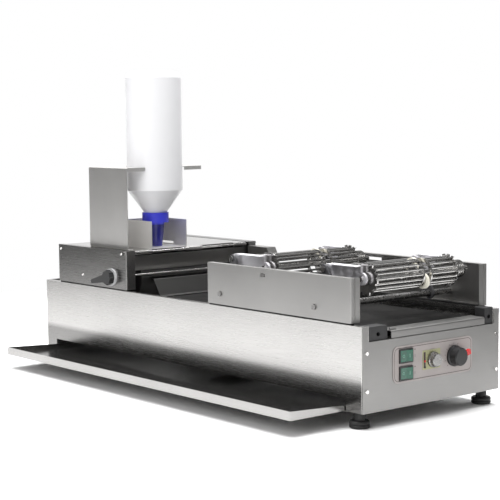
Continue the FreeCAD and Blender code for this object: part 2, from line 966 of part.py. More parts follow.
def bottle():
    """Upturned bottle of revolution with one wall thickness."""
    inner = bottle_radius - bottle_wall
    base = bottle_top - bottle_wall
    ease = 0.3 * bottle_corner
    mouth = neck_height - neck_length
    throat = neck_radius - bottle_wall
    outline = [
        (0, bottle_top), (bottle_radius - bottle_corner, bottle_top),
        (bottle_radius - ease, bottle_top - ease), (bottle_radius, bottle_top - bottle_corner),
        (bottle_radius, shoulder_height), (neck_radius, neck_height), (neck_radius, mouth),
        (throat, mouth), (throat, neck_height + bottle_wall / 2),
        (inner, shoulder_height + bottle_wall / 2), (inner, base - bottle_corner),
        (inner - ease, base - ease), (inner - bottle_corner, base), (0, base)]
    return turned(outline, Vector(bottle_x, bottle_y, 0), Vector(0, 0, 1))


def bottle_cap():
    """Screw cap that closes round the neck, with the tapered spout moulded on."""
    top = neck_height
    low = top - cap_height
    tip = lid_top + box_sheet + spout_gap
    bore = neck_radius + cap_gap
    outline = [
        (bore, top), (cap_radius, top), (cap_radius, low), (spout_top_radius, low),
        (spout_end_radius, tip), (spout_end_radius - cap_skin, tip),
        (spout_top_radius - cap_skin, low + cap_skin), (bore, low + cap_skin)]
    return turned(outline, Vector(bottle_x, bottle_y, 0), Vector(0, 0, 1))


# Heated drum, trough and peeling parts

def drum():
    """Hollow baking drum with flat ends."""
    body = rod_y(drum_x, drum_z, drum_radius, drum_start, drum_stop)
    core = rod_y(drum_x, drum_z, drum_radius - drum_wall, drum_start + drum_end,
                 drum_stop - drum_end)
    return bored(body.cut(core), drum_x, drum_z, shaft_radius, drum_start, drum_stop)


def drum_shaft():
    """Shaft that runs in both bearing blocks, with the sprocket on its far end."""
    shaft = rod_y(drum_x, drum_z, shaft_radius, block_near - shaft_overhang,
                  chain_y + chain_width + shaft_end)
    wheel = toothed_wheel(drum_x, drum_z, sprocket_radius, sprocket_radius - sprocket_tooth,
                          sprocket_teeth, shaft_radius, chain_y + chain_side,
                          chain_y + chain_width - chain_side)
    return group([shaft, wheel])


def drum_heaters():
    """Heating rods inside the drum, between its ends."""
    circle = drum_radius - drum_wall - drum_heater_gap - drum_heater_radius
    rods = []
    for k in range(drum_heater_count):
        angle = math.radians(drum_heater_turn + 360 * k / drum_heater_count)
        rods.append(rod_y(drum_x + circle * math.cos(angle), drum_z + circle * math.sin(angle),
                          drum_heater_radius, drum_start + drum_end, drum_stop - drum_end))
    return group(rods)


def bearing_block(y0):
    """Upright bearing block on its shelf, with a round crown."""
    y1 = y0 + block_depth
    half = block_width / 2
    crown = drum_z + block_rise
    low = box(drum_x - half, y0, shelf_top, drum_x + half, y1, crown - half)
    cap = rod_y(drum_x, crown - half, half, y0, y1)
    return bored(low.fuse(cap), drum_x, drum_z, shaft_radius + fit, y0, y1).removeSplitter()


def bearing_shelves():
    """Angles on the two long walls that carry the bearing blocks."""
    half = shelf_sheet / 2
    level = shelf_top - half
    side = block_width / 2
    shelves = []
    for wall, inner in ((sheet + half, block_near + block_depth),
                        (base_width - sheet - half, block_far)):
        line = [(wall, level - shelf_leg), (wall, level), (inner, level)]
        shelves.append(bent_sheet(line, shelf_sheet, "x", drum_x - side, drum_x + side))
    return group(shelves)


def batter_trough():
    """Curved plate and two dams that hold the batter against the drum."""
    reach = drum_radius + trough_gap
    lean = math.radians(trough_lean)
    lip = Vector(drum_x + reach * math.cos(lean), 0, drum_z + reach * math.sin(lean))
    top = Vector(hinge_x + trough_top_gap, 0, hinge_z - knuckle_radius - trough_top_gap)
    middle = Vector(lip.x + trough_bow, 0, (lip.z + top.z) / 2)
    curve = Part.Arc(top, middle, lip).toShape().Curve

    def grown(point, extra, y):
        spot = curve.Center + (point - curve.Center).normalize() * (curve.Radius + extra)
        return spot + Vector(0, y, 0)

    def band(y0, y1):
        inside = [grown(p, 0, y0) for p in (top, middle, lip)]
        outside = [grown(p, trough_sheet, y0) for p in (lip, middle, top)]
        edges = [
            Part.Arc(*inside).toShape(),
            Part.LineSegment(inside[-1], outside[0]).toShape(),
            Part.Arc(*outside).toShape(),
            Part.LineSegment(outside[-1], inside[0]).toShape()]
        return extruded(edges, "y", y0, y1)

    dams = []
    for y0 in (drum_start - dam_gap - trough_sheet, drum_stop + dam_gap):
        corners = [(p.x + dam_seat, p.z) for p in (top, middle, lip)]
        corners.append((drum_x + dam_low_reach, lip.z + dam_low_rise))
        corners.append((drum_x + dam_high_reach, top.z))
        dams.append(prism(corners, "y", y0, y0 + trough_sheet))
    return band(sheet, base_width - sheet).fuse(dams).removeSplitter()


def peel_bar():
    """Polished bar behind the front folds of the head, and the blade that lifts the film."""
    bar_x = head_front - sheet - peel_bar_radius - peel_bar_gap
    bar = rod_y(bar_x, peel_bar_z, peel_bar_radius, sheet + bend, chain_y - chain_gap)
    tip_x = drum_x + drum_radius + blade_gap
    tip_z = peel_bar_z - blade_tip_drop
    root_z = peel_bar_z - blade_root_drop
    blade = prism([(tip_x, tip_z - blade_tip_thickness), (bar_x, root_z - blade_root_thickness),
                   (bar_x, root_z), (tip_x, tip_z)],
                  "y", drum_start + blade_inset, drum_stop - blade_inset)
    return bar.fuse(blade)


def transfer_slide():
    """Sloping sheet that takes the crepe from the peel bar down to the hot plate."""
    half = sheet / 2
    start_x = drum_x + drum_radius + transfer_gap
    start_z = peel_bar_z - transfer_drop
    line = [(start_x, start_z), (head_front, start_z - transfer_fall),
            (plate_start - transfer_back, plate_top + half),
            (plate_start + transfer_lap, plate_top + half)]
    return bent_sheet(line, sheet, "y", plate_side_near, plate_side_far)


# Hand lever

def lever_bush():
    """Pale disc between the lever and the side plate."""
    disc = rod_y(lever_x, lever_z, bush_radius, -bush_thickness, 0)
    return bored(disc, lever_x, lever_z, lever_pin_radius + fit, -bush_thickness, 0)


def trough_lever():
    """Hand lever with a ribbed hub, its pin and the collar inside the side plate."""
    hub_y1 = -bush_thickness - lever_hub_gap
    hub_y0 = hub_y1 - lever_hub_depth
    arm_y1 = hub_y1 - lever_arm_inset
    arm = stadium(lever_x, lever_z, lever_x - lever_arm, lever_z - lever_drop,
                  lever_root_radius, lever_tip_radius, "y", arm_y1 - lever_thickness, arm_y1)
    hub = rod_y(lever_x, lever_z, lever_hub_radius, hub_y0, hub_y1)
    ribs = [rod_y(x, z, lever_rib_radius, hub_y0 + lever_rib_inset, hub_y1 - lever_rib_inset)
            for x, z in circle_points(lever_x, lever_z, lever_hub_radius, lever_rib_count)]
    pin = rod_y(lever_x, lever_z, lever_pin_radius, hub_y1 - lever_rib_inset, lever_pin_end)
    collar_y = sheet + collar_gap
    collar = rod_y(lever_x, lever_z, lever_pin_radius + collar_step, collar_y,
                   collar_y + collar_width)
    return hub.fuse([arm, pin, collar] + ribs).removeSplitter()


# Chain drive

def gear_motor():
    """Motor with its square gearbox, standing on the motor shelf."""
    y0 = gearbox_far - gearbox_depth
    body = rod_y(motor_x, motor_z, motor_radius, y0 - motor_length, y0)
    cap = rod_y(motor_x, motor_z, motor_radius - motor_cap_step,
                y0 - motor_length - motor_cap_length, y0 - motor_length)
    gears = rounded_plate(motor_x - motor_half, motor_z - motor_half, motor_x + motor_half,
                          motor_z + motor_half, motor_corner, "y", y0, gearbox_far)
    bore = rod_y(motor_x, motor_z, motor_shaft_radius + fit, gearbox_far - motor_bore_depth,
                 gearbox_far + through)
    return body.fuse([cap, gears]).cut(bore).removeSplitter()


def motor_shelf():
    """Channel across the base, over the tray, that carries the gear motor."""
    level = motor_shelf_top - motor_shelf_sheet / 2
    side = motor_half + motor_shelf_margin
    line = [(motor_x - side, level + motor_shelf_rise), (motor_x - side, level),
            (motor_x + side, level), (motor_x + side, level + motor_shelf_rise)]
    return bent_sheet(line, motor_shelf_sheet, "y", sheet, base_width - sheet)


def motor_drive():
    """Output shaft of the gearbox with its small sprocket."""
    shaft = rod_y(motor_x, motor_z, motor_shaft_radius, gearbox_far - motor_shaft_depth,
                  chain_y + chain_width + shaft_end)
    wheel = toothed_wheel(motor_x, motor_z, motor_sprocket_radius,
                          motor_sprocket_radius - sprocket_tooth, motor_sprocket_teeth,
                          motor_shaft_radius / 2, chain_y + chain_side,
                          chain_y + chain_width - chain_side)
    return shaft.fuse(wheel).removeSplitter()


def drive_chain():
    """Chain loop round both sprockets, clear of their teeth."""
    y1 = chain_y + chain_width
    inner = chain_clearance
    outer = inner + chain_thickness
    loop = stadium(drum_x, drum_z, motor_x, motor_z, sprocket_radius + outer,
                   motor_sprocket_radius + outer, "y", chain_y, y1)
    return loop.cut(stadium(drum_x, drum_z, motor_x, motor_z, sprocket_radius + inner,
                            motor_sprocket_radius + inner, "y", chain_y - through, y1 + through))


def chain_guard():
    """Folded cover over the chain where it leaves the head, open below and behind."""
    x0 = head_front + guard_gap
    x1 = x0 + guard_length
    z0 = base_height
    z1 = z0 + guard_rise

    def hood(inset, y0, y1, opening):
        return prism([(x0 - opening, z0 - opening), (x0 - opening, z1 - inset),
                      (x1 - guard_slope - inset / 2, z1 - inset), (x1 - inset, z1 - guard_fall),
                      (x1 - inset, z0 - opening)], "y", y0, y1)
    y0 = base_width - guard_depth
    shell = hood(0, y0, base_width, 0)
    return shell.cut(hood(sheet, y0 + sheet, base_width - sheet, through))


# Turner

def turner_plate(near):
    """Side plate of the turner, with its holes, its window and a groove down its front fold."""
    plate = side_plate(turner_rear, turner_front, turner_height, near, turner_flange, hem)
    y0, y1 = (0, sheet) if near else (base_width - sheet, base_width)
    for x in tie_places:
        plate = bored(plate, x, tie_z, tie_screw_radius + fit, y0, y1)
    if near:
        x0 = turner_rear + near_window_start
        low = turner_top - near_window_drop
        window = box(x0, y0 - through, low, x0 + near_window_length, y1 + through,
                     low + near_window_height)
        edge = flange_groove_inset
    else:
        x0 = turner_rear + far_window_start
        low = turner_top - far_window_drop
        window = box(x0, y0 - through, low, x0 + far_window_length, y1 + through,
                     low + far_window_height)
        edge = base_width - flange_groove_inset
    half = flange_groove_width / 2
    groove = box(turner_front - flange_groove_depth, edge - half, top_z,
                 turner_front + through, edge + half, turner_top)
    return plate.cut([window, groove]).removeSplitter()


def tie_rod(x):
    """Rod between the side plates of the turner, with a screw head at each end."""
    far = base_width
    screw = tie_screw_radius
    outline = [(0, -tie_head), (tie_head_radius, -tie_head), (tie_head_radius, 0), (screw, 0),
               (screw, sheet), (tie_radius, sheet), (tie_radius, far - sheet),
               (screw, far - sheet), (screw, far), (tie_head_radius, far),
               (tie_head_radius, far + tie_head), (0, far + tie_head)]
    return turned(outline, Vector(x, 0, tie_z), Vector(0, 1, 0))


def stop_drop():
    """How far the stop pin lies below the pivot, so that the arm rests just over it."""
    share = stop_reach / arm_length
    web = arm_root_radius + (arm_end_radius - arm_root_radius) * share
    lean = math.atan2(axle_drop, arm_length)
    return axle_drop * share + web / math.cos(lean) + stop_radius + stop_gap


def uprights(tie_x, pivot_x):
    """Pair of plates on a tie rod that carry the pivot shaft, each with a stop pin."""
    plates = []
    for y0, arm_y in ((upright_near, arm_near), (upright_far, arm_far)):
        y1 = y0 + upright_thickness
        plate = stadium(tie_x, tie_z, pivot_x, pivot_z, upright_foot_radius,
                        upright_crown_radius, "y", y0, y1)
        stop = rod_y(pivot_x + stop_reach, pivot_z - stop_drop(), stop_radius,
                     min(y0, arm_y), max(y1, arm_y + arm_thickness))
        plate = plate.fuse(stop).removeSplitter()
        plate = bored(plate, tie_x, tie_z, tie_radius, y0, y1)
        plates.append(bored(plate, pivot_x, pivot_z, pivot_radius + fit, y0, y1))
    return plates


def pivot_shaft(x):
    """Shaft through both arms and both uprights, with a head at each end."""
    return headed_rod(x, pivot_z, pivot_radius, pivot_head_radius, pivot_head,
                      upright_near - pivot_overhang,
                      upright_far + upright_thickness + pivot_overhang)


def arms(pivot_x):
    """Near and far arm of one cage, tapered with a folded top flange, and the bar between them."""
    axle_x = pivot_x + arm_length
    top = pivot_z + arm_rise
    x0 = pivot_x + arm_flange_start
    x1 = axle_x - arm_flange_stop
    pair = []
    for y0, outer in ((arm_near, arm_near - arm_flange),
                      (arm_far, arm_far + arm_thickness + arm_flange)):
        y1 = y0 + arm_thickness
        web = stadium(pivot_x, pivot_z, axle_x, axle_z, arm_root_radius, arm_end_radius,
                      "y", y0, y1)
        fold = box(x0, min(y0, outer), top - sheet, x1, max(y1, outer), top)
        rib = box(x0, y0, pivot_z, x1, y1, top)
        arm = bored(web.fuse([fold, rib]), pivot_x, pivot_z, pivot_radius + fit, y0, y1)
        pair.append(bored(arm, axle_x, axle_z, axle_radius + fit, y0, y1))
    bar = rod_y(pivot_x + arm_tie_reach, pivot_z - arm_tie_drop, arm_tie_radius,
                arm_near + arm_thickness, arm_far)
    return pair[0].fuse([bar, pair[1]]).removeSplitter()


def ring_places(x):
    """Centres of the two rings on the link of the axle at x."""
    lean = math.radians(link_lean)
    dx = ring_offset * math.cos(lean)
    dz = ring_offset * math.sin(lean)
    return [(x + dx, axle_z + dz), (x - dx, axle_z - dz)]


def cage_axle(x):
    """Axle with the ribbed hub at its far end and the link across its middle."""
    far = arm_far + arm_thickness
    shaft = rod_y(x, axle_z, axle_radius, arm_near - axle_near_end, far + axle_far_end)
    hub_y = far + hub_gap
    hub = rod_y(x, axle_z, hub_radius - hub_groove_depth, hub_y, hub_y + hub_width)
    pitch = (hub_width - hub_rib_width) / (hub_rib_count - 1)
    ribs = [rod_y(x, axle_z, hub_radius, hub_y + k * pitch, hub_y + k * pitch + hub_rib_width)
            for k in range(hub_rib_count)]
    y1 = link_start + link_thickness
    ends = ring_places(x)
    link = stadium(*ends[0], *ends[1], link_radius, link_radius, "y", link_start, y1)
    pins = [rod_y(px, pz, ring_bore, y1, y1 + ring_width + pin_overhang) for px, pz in ends]
    return shaft.fuse([hub, link] + ribs + pins).removeSplitter()


def cage(x):
    """Toothed end discs, plain inner discs and two bundles of rods round the axle."""
    near_inner = cage_middle - inner_gap / 2
    far_inner = cage_middle + inner_gap / 2
    near_face = cage_near + disc_thickness
    far_face = cage_far - disc_thickness
    solids = []
    for y0 in (cage_near, far_face):
        solids.append(toothed_wheel(x, axle_z, cage_radius + tooth_height, cage_radius,
                                    tooth_count, axle_radius, y0, y0 + disc_thickness))
    for y0 in (near_inner - inner_disc_thickness, far_inner):
        y1 = y0 + inner_disc_thickness
        plain = rod_y(x, axle_z, cage_radius + inner_disc_rim, y0, y1)
        solids.append(bored(plain, x, axle_z, axle_radius, y0, y1))
    spans = ((near_face, near_inner - inner_disc_thickness),
             (far_inner + inner_disc_thickness, far_face))
    for y0, y1 in spans:
        for rx, rz in circle_points(x, axle_z, cage_radius - cage_rod_radius, cage_rod_count):
            section = circle_points(rx, rz, cage_rod_radius, cage_rod_sides)
            solids.append(prism(section, "y", y0, y1))
    return group(solids)


def nylon_rings(x):
    """Two cream rings pressed on the pins of the link, just clear of the axle."""
    y0 = link_start + link_thickness
    y1 = y0 + ring_width
    return group([bored(rod_y(rx, rz, ring_radius, y0, y1), rx, rz, ring_bore, y0, y1)
                  for rx, rz in ring_places(x)])


# Controls

def switch_hole(z, x0, x1):
    half_y = switch_length / 2 - switch_rim_lap
    half_z = switch_height / 2 - switch_rim_lap
    return box(x0, switch_y - half_y, z - half_z, x1, switch_y + half_y, z + half_z)


def control_openings(plate, x0, x1):
    """The plate with the holes for both switches and both knob spindles."""
    holes = [switch_hole(z, x0 - through, x1 + through) for z in (switch_low, switch_high)]
    holes += [rod_x(y, dial_z, shaft_hole_radius, x0 - through, x1 + through)
              for y in (speed_y, thermostat_y)]
    return plate.cut(holes)


def control_plate():
    """Rounded plate that frames the controls."""
    plate = rounded_plate(control_plate_near, control_plate_low, control_plate_far,
                          control_plate_high, control_plate_corner, "x", base_length, plate_face)
    return control_openings(plate, base_length, plate_face)


def switch_body(z):
    """Black rocker housing with its rim in front of the control plate."""
    rim = rounded_plate(switch_y - switch_length / 2, z - switch_height / 2,
                        switch_y + switch_length / 2, z + switch_height / 2, switch_corner, "x",
                        plate_face, plate_face + bezel_proud)
    half_y = switch_length / 2 - switch_rim_lap - switch_tub_gap
    half_z = switch_height / 2 - switch_rim_lap - switch_tub_gap
    tub = box(base_length - switch_depth, switch_y - half_y, z - half_z, plate_face,
              switch_y + half_y, z + half_z)
    well_y = switch_length / 2 - bezel_rim
    well_z = switch_height / 2 - bezel_rim
    well = box(base_length - switch_well_depth, switch_y - well_y, z - well_z,
               plate_face + bezel_proud + through, switch_y + well_y, z + well_z)
    return rim.fuse(tub).cut(well)


def rocker(z):
    """Rocker key with a shallow V face, drawn with its near half pressed."""
    pivot = Vector(plate_face - rocker_setback, switch_y, z)
    half = switch_length / 2 - bezel_rim - rocker_end_gap
    half_z = switch_height / 2 - bezel_rim - rocker_side_gap
    back = half - rocker_taper
    front = half - rocker_shoulder
    outline = [(-rocker_depth, -back), (-rocker_depth, back), (0, half), (rocker_rise, front),
               (rocker_rise - rocker_dip, 0), (rocker_rise, -front), (0, -half)]
    key = prism([(pivot.x + u, pivot.y + v) for u, v in outline], "z", z - half_z, z + half_z)
    key.rotate(pivot, Vector(0, 0, 1), -rocker_tilt)
    return key


def dial_plate():
    """Thin plate behind the speed knob."""
    plate = rounded_plate(speed_y - dial_near, dial_z - dial_low, speed_y + dial_far,
                          dial_z + dial_high, dial_corner, "x", plate_face, dial_face)
    return plate.cut(rod_x(speed_y, dial_z, shaft_hole_radius, plate_face - through,
                           dial_face + through))


def knob_outline(radius, depth, gap, skirt):
    """Profile of a knob with a skirt, a tapered grip and its spindle behind."""
    grip = radius - 0.1 * radius
    crown = grip - 0.05 * radius
    return [(0, -gap - spindle_length), (spindle_radius, -gap - spindle_length),
            (spindle_radius, 0), (radius, 0), (radius, skirt), (grip, skirt + radius - grip),
            (crown, depth - (radius - grip)), (crown - (radius - grip), depth), (0, depth)]


def speed_knob():
    """Bright turned knob on its spindle."""
    outline = knob_outline(speed_knob_radius, speed_knob_depth, speed_knob_gap, speed_skirt)
    return turned(outline, Vector(dial_face + speed_knob_gap, speed_y, dial_z), Vector(1, 0, 0))


def thermostat_knob():
    """Black fluted knob with a skirt, seated round its pointer."""
    x = plate_face + thermostat_knob_gap
    outline = knob_outline(thermostat_knob_radius, thermostat_knob_depth, thermostat_knob_gap,
                           thermostat_skirt)
    knob = turned(outline, Vector(x, thermostat_y, dial_z), Vector(1, 0, 0))
    circle = circle_points(thermostat_y, dial_z, thermostat_knob_radius + flute_offset, flute_count)
    flutes = [rod_x(y, z, flute_radius, x + flute_start, x + thermostat_knob_depth + through)
              for y, z in circle]
    return knob.cut(flutes + [knob_pointer()])


def knob_pointer():
    """Small red pointer let into the rim of the thermostat knob."""
    x = plate_face + thermostat_knob_gap + thermostat_knob_depth - pointer_setback
    inner = thermostat_y + thermostat_knob_radius - pointer_seat
    outer = thermostat_y + thermostat_knob_radius + pointer_reach
    half = pointer_width / 2
    pointer = box(x, inner, dial_z - half, x + pointer_depth, outer, dial_z + half)
    pointer.rotate(Vector(x, thermostat_y, dial_z), Vector(1, 0, 0), pointer_angle)
    return pointer


def panel_controls():
    """Round body of the speed control and square thermostat, behind the panel."""
    x1 = base_length - sheet
    half_y = thermostat_body_width / 2
    half_z = thermostat_body_height / 2
    speed = rod_x(speed_y, dial_z, speed_body_radius, x1 - speed_body_depth, x1)
    thermostat = box(x1 - thermostat_body_depth, thermostat_y - half_y, dial_z - half_z,
                     x1, thermostat_y + half_y, dial_z + half_z)
    solids = []
    for body, y in ((speed, speed_y), (thermostat, thermostat_y)):
        solids.append(body.cut(rod_x(y, dial_z, spindle_radius + fit, x1 - spindle_hole_depth,
                                     x1 + through)))
    return group(solids)


pieces = {
    "base_shell": base_shell(),
    "front_panel": front_panel(),
    "bulkheads": bulkheads(),
    "feet": group([foot(x, y) for x, y in foot_places()]),
    "fixings": group(front_screws() + foot_nuts()),
    "rear_cowl": rear_cowl(),
    "drip_tray": drip_tray(),
    "tray_runners": tray_runners(),
    "hotplate": hotplate(),
    "hotplate_crossbars": hotplate_crossbars(),
    "hotplate_heaters": hotplate_heaters(),
    "exit_slide": exit_slide(),
    "slide_blocks": slide_blocks(),
    "seat_strips": seat_strips(),
    "head_plate_near": head_plate_near(),
    "head_plate_far": head_plate_far(),
    "head_rear_cover": head_rear_cover(),
    "hinge_rod": hinge_rod(),
    "lid": lid(),
    "feed_box": feed_box(),
    "bottle_holder": bottle_holder(),
    "bottle": bottle(),
    "bottle_cap": bottle_cap(),
    "drum": drum(),
    "drum_shaft": drum_shaft(),
    "drum_heaters": drum_heaters(),
    "bearing_blocks": group([bearing_block(y) for y in (block_near, block_far)]),
    "bearing_shelves": bearing_shelves(),
    "batter_trough": batter_trough(),
    "peel_bar": peel_bar(),
    "transfer_slide": transfer_slide(),
    "lever_bush": lever_bush(),
    "trough_lever": trough_lever(),
    "gear_motor": gear_motor(),
    "motor_shelf": motor_shelf(),
    "motor_drive": motor_drive(),
    "drive_chain": drive_chain(),
    "chain_guard": chain_guard(),
    "turner_plate_near": turner_plate(True),
    "turner_plate_far": turner_plate(False),
    "tie_rods": group([tie_rod(x) for x in tie_places]),
    "uprights": group([plate for tie_x, pivot_x in zip(tie_places, pivot_places)
                       for plate in uprights(tie_x, pivot_x)]),
    "pivot_shafts": group([pivot_shaft(x) for x in pivot_places]),
    "control_plate": control_plate(),
    "switch_bodies": group([switch_body(z) for z in (switch_low, switch_high)]),
    "rocker_upper": rocker(switch_high),
    "rocker_lower": rocker(switch_low),
    "dial_plate": dial_plate(),
    "speed_knob": speed_knob(),
    "thermostat_knob": thermostat_knob(),
    "knob_pointer": knob_pointer(),
    "panel_controls": panel_controls(),
}
for side, pivot_x in zip(("rear", "front"), pivot_places):
    axle_x = pivot_x + arm_length
    pieces[f"{side}_arms"] = arms(pivot_x)
    pieces[f"{side}_axle"] = cage_axle(axle_x)
    pieces[f"{side}_cage"] = cage(axle_x)
    pieces[f"{side}_rings"] = nylon_rings(axle_x)

bounds = FreeCAD.BoundBox()
for shape in pieces.values():
    bounds.add(shape.BoundBox)
origin = Vector(bounds.Center.x, bounds.Center.y, bounds.ZMin)

os.makedirs("parts", exist_ok=True)
for name, shape in pieces.items():
    moved = shape.copy()
    moved.translate(-origin)
    moved.exportStep(f"parts/{name}.step")
print("pieces", len(pieces), "size", bounds.XLength, bounds.YLength, bounds.ZLength)
print("origin", origin.x, origin.y, origin.z)
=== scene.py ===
import bpy
import bmesh
import math
from mathutils import Matrix, Vector
from mathutils.bvhtree import BVHTree


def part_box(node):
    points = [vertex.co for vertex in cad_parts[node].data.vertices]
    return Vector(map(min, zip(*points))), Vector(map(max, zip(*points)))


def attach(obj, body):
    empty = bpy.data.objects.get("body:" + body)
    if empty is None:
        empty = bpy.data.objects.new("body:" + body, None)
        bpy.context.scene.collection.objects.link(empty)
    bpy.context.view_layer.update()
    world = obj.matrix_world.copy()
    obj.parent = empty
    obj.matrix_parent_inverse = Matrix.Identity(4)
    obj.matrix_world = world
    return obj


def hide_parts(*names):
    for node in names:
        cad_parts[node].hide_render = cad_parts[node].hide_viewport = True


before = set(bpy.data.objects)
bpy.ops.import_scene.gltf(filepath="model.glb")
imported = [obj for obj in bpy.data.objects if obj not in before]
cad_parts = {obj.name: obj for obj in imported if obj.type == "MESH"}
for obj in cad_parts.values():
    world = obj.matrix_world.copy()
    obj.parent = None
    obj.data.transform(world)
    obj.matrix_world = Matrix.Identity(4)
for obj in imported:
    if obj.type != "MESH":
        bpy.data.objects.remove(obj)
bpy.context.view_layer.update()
mm = 0.001

# Lower rear corner of the housing on the tray side: the zero of all places in millimetres below
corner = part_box("base_shell")[0]

# Index of the two corners of a part's box
near, far = 0, 1


def at(x, y, z):
    """A place in metres, given in millimetres from the lower rear corner of the housing."""
    return corner + Vector((x, y, z)) * mm


def edge(node, axis, side):
    """One face of a part's box along an axis (0, 1 or 2), in millimetres from the zero."""
    return (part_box(node)[side][axis] - corner[axis]) / mm


def centre_line(node, axis):
    """The middle of a part's box along an axis, in millimetres from the zero."""
    return (edge(node, axis, near) + edge(node, axis, far)) / 2


# Faces that the small pieces sit on
end_face = edge("front_panel", 0, far)
plate_face = edge("control_plate", 0, far)
dial_face = edge("dial_plate", 0, far)
head_near_face = edge("head_plate_near", 1, near)
head_far_face = edge("head_plate_far", 1, far)


# Helpers for materials

same_all_ways = (1, 1, 1)


def new_material(name):
    """An empty material, with its node tree and its shader."""
    material = bpy.data.materials.new(name)
    material.use_nodes = True
    return material, material.node_tree, material.node_tree.nodes["Principled BSDF"]


def noise(tree, stretch, scale, detail=3.0, shift=0.0):
    """Noise fixed to the part, drawn out along the axis whose stretch is small."""
    place = tree.nodes.new("ShaderNodeTexCoord")
    mapping = tree.nodes.new("ShaderNodeMapping")
    mapping.inputs["Scale"].default_value = stretch
    mapping.inputs["Location"].default_value = (shift, shift, shift)
    node = tree.nodes.new("ShaderNodeTexNoise")
    node.inputs["Scale"].default_value = scale
    node.inputs["Detail"].default_value = detail
    tree.links.new(place.outputs["Object"], mapping.inputs["Vector"])
    tree.links.new(mapping.outputs["Vector"], node.inputs["Vector"])
    return node.outputs["Fac"]


def spread(tree, value, low, high, start=0.3, end=0.7):
    """Stretches a value between start and end to the range from low to high."""
    node = tree.nodes.new("ShaderNodeMapRange")
    node.inputs["From Min"].default_value = start
    node.inputs["From Max"].default_value = end
    node.inputs["To Min"].default_value = low
    node.inputs["To Max"].default_value = high
    tree.links.new(value, node.inputs["Value"])
    return node.outputs["Result"]


def blend_colours(tree, value, first, second, socket):
    """Mixes two colours by a value from 0 to 1 and feeds a socket with them."""
    node = tree.nodes.new("ShaderNodeMix")
    node.data_type = "RGBA"
    node.inputs["A"].default_value = (*first, 1)
    node.inputs["B"].default_value = (*second, 1)
    tree.links.new(value, node.inputs["Factor"])
    tree.links.new(node.outputs["Result"], socket)


def bump(tree, value, strength, depth, shader):
    """Raises and lowers a surface slightly by a value."""
    node = tree.nodes.new("ShaderNodeBump")
    node.inputs["Strength"].default_value = strength
    node.inputs["Distance"].default_value = depth
    tree.links.new(value, node.inputs["Height"])
    tree.links.new(node.outputs["Normal"], shader.inputs["Normal"])


# Metals

grain_along = {"x": (0.015, 1, 1), "y": (1, 0.015, 1), "z": (1, 1, 0.015)}


def paint_foot_shade(tree, shader, low, high, factor):
    """Paints shade on a sheet: darkens it by a factor below the low height, fading out at the high
    height.
    """
    place = tree.nodes.new("ShaderNodeTexCoord")
    parts = tree.nodes.new("ShaderNodeSeparateXYZ")
    tree.links.new(place.outputs["Object"], parts.inputs["Vector"])
    tint = spread(tree, parts.outputs["Z"], factor, 1.0, at(0, 0, low).z, at(0, 0, high).z)
    scaled = tree.nodes.new("ShaderNodeVectorMath")
    scaled.operation = "SCALE"
    socket = shader.inputs["Base Color"]
    tree.links.new(socket.links[0].from_socket, scaled.inputs[0])
    tree.links.new(tint, scaled.inputs["Scale"])
    tree.links.new(scaled.outputs["Vector"], socket)


def brushed(name, grain, tone, rough, contrast=0.05, foot=None):
    """Brushed sheet steel: fine lines along the grain, faint smears, and maybe a foot darkened as
    painted shade.
    """
    material, tree, shader = new_material(name)
    lines = noise(tree, grain_along[grain], scale=1400.0, detail=2.0)
    smears = noise(tree, same_all_ways, scale=7.0, detail=4.0, shift=3.0)
    dark = [part * (1 - contrast) for part in tone]
    light = [part * (1 + contrast) for part in tone]
    blend_colours(tree, spread(tree, smears, 0, 1), dark, light, shader.inputs["Base Color"])
    # Painted shade at the foot of the sheet
    if foot:
        paint_foot_shade(tree, shader, *foot)
    tree.links.new(spread(tree, lines, rough * 0.92, rough * 1.08), shader.inputs["Roughness"])
    shader.inputs["Metallic"].default_value = 1.0
    bump(tree, lines, strength=0.03, depth=0.15 * mm, shader=shader)
    return material


def machined(name, tone, rough, scale=220.0):
    """Turned or drawn metal with fine wear marks."""
    material, tree, shader = new_material(name)
    marks = noise(tree, same_all_ways, scale)
    dark = [part * 0.85 for part in tone]
    blend_colours(tree, spread(tree, marks, 0, 1), dark, tone, shader.inputs["Base Color"])
    tree.links.new(spread(tree, marks, rough * 0.7, rough * 1.3), shader.inputs["Roughness"])
    shader.inputs["Metallic"].default_value = 1.0
    bump(tree, marks, strength=0.05, depth=0.1 * mm, shader=shader)
    return material


def used_plate(name, tone, rough, gloss):
    """Cast cooking plate, darkened by use, with rubbed patches and a fine pitted skin."""
    material, tree, shader = new_material(name)
    patches = noise(tree, same_all_ways, scale=14.0, detail=5.0)
    pits = noise(tree, same_all_ways, scale=600.0, detail=2.0, shift=5.0)
    dark = [part * 0.6 for part in tone]
    blend_colours(tree, spread(tree, patches, 0, 1), dark, tone, shader.inputs["Base Color"])
    tree.links.new(spread(tree, patches, rough * 0.8, rough * 1.25), shader.inputs["Roughness"])
    shader.inputs["Specular IOR Level"].default_value = gloss
    bump(tree, pits, strength=0.2, depth=0.15 * mm, shader=shader)
    return material


warm = (1.0, 0.985, 0.965)


def grey(value):
    """A slightly warm grey, as stainless steel has."""
    return [value * part for part in warm]


# Painted reflection of the dark tray on the housing's foot: darker below 46 mm, fading out at 58 mm
painted_foot_reflection = (46, 58, 0.46)
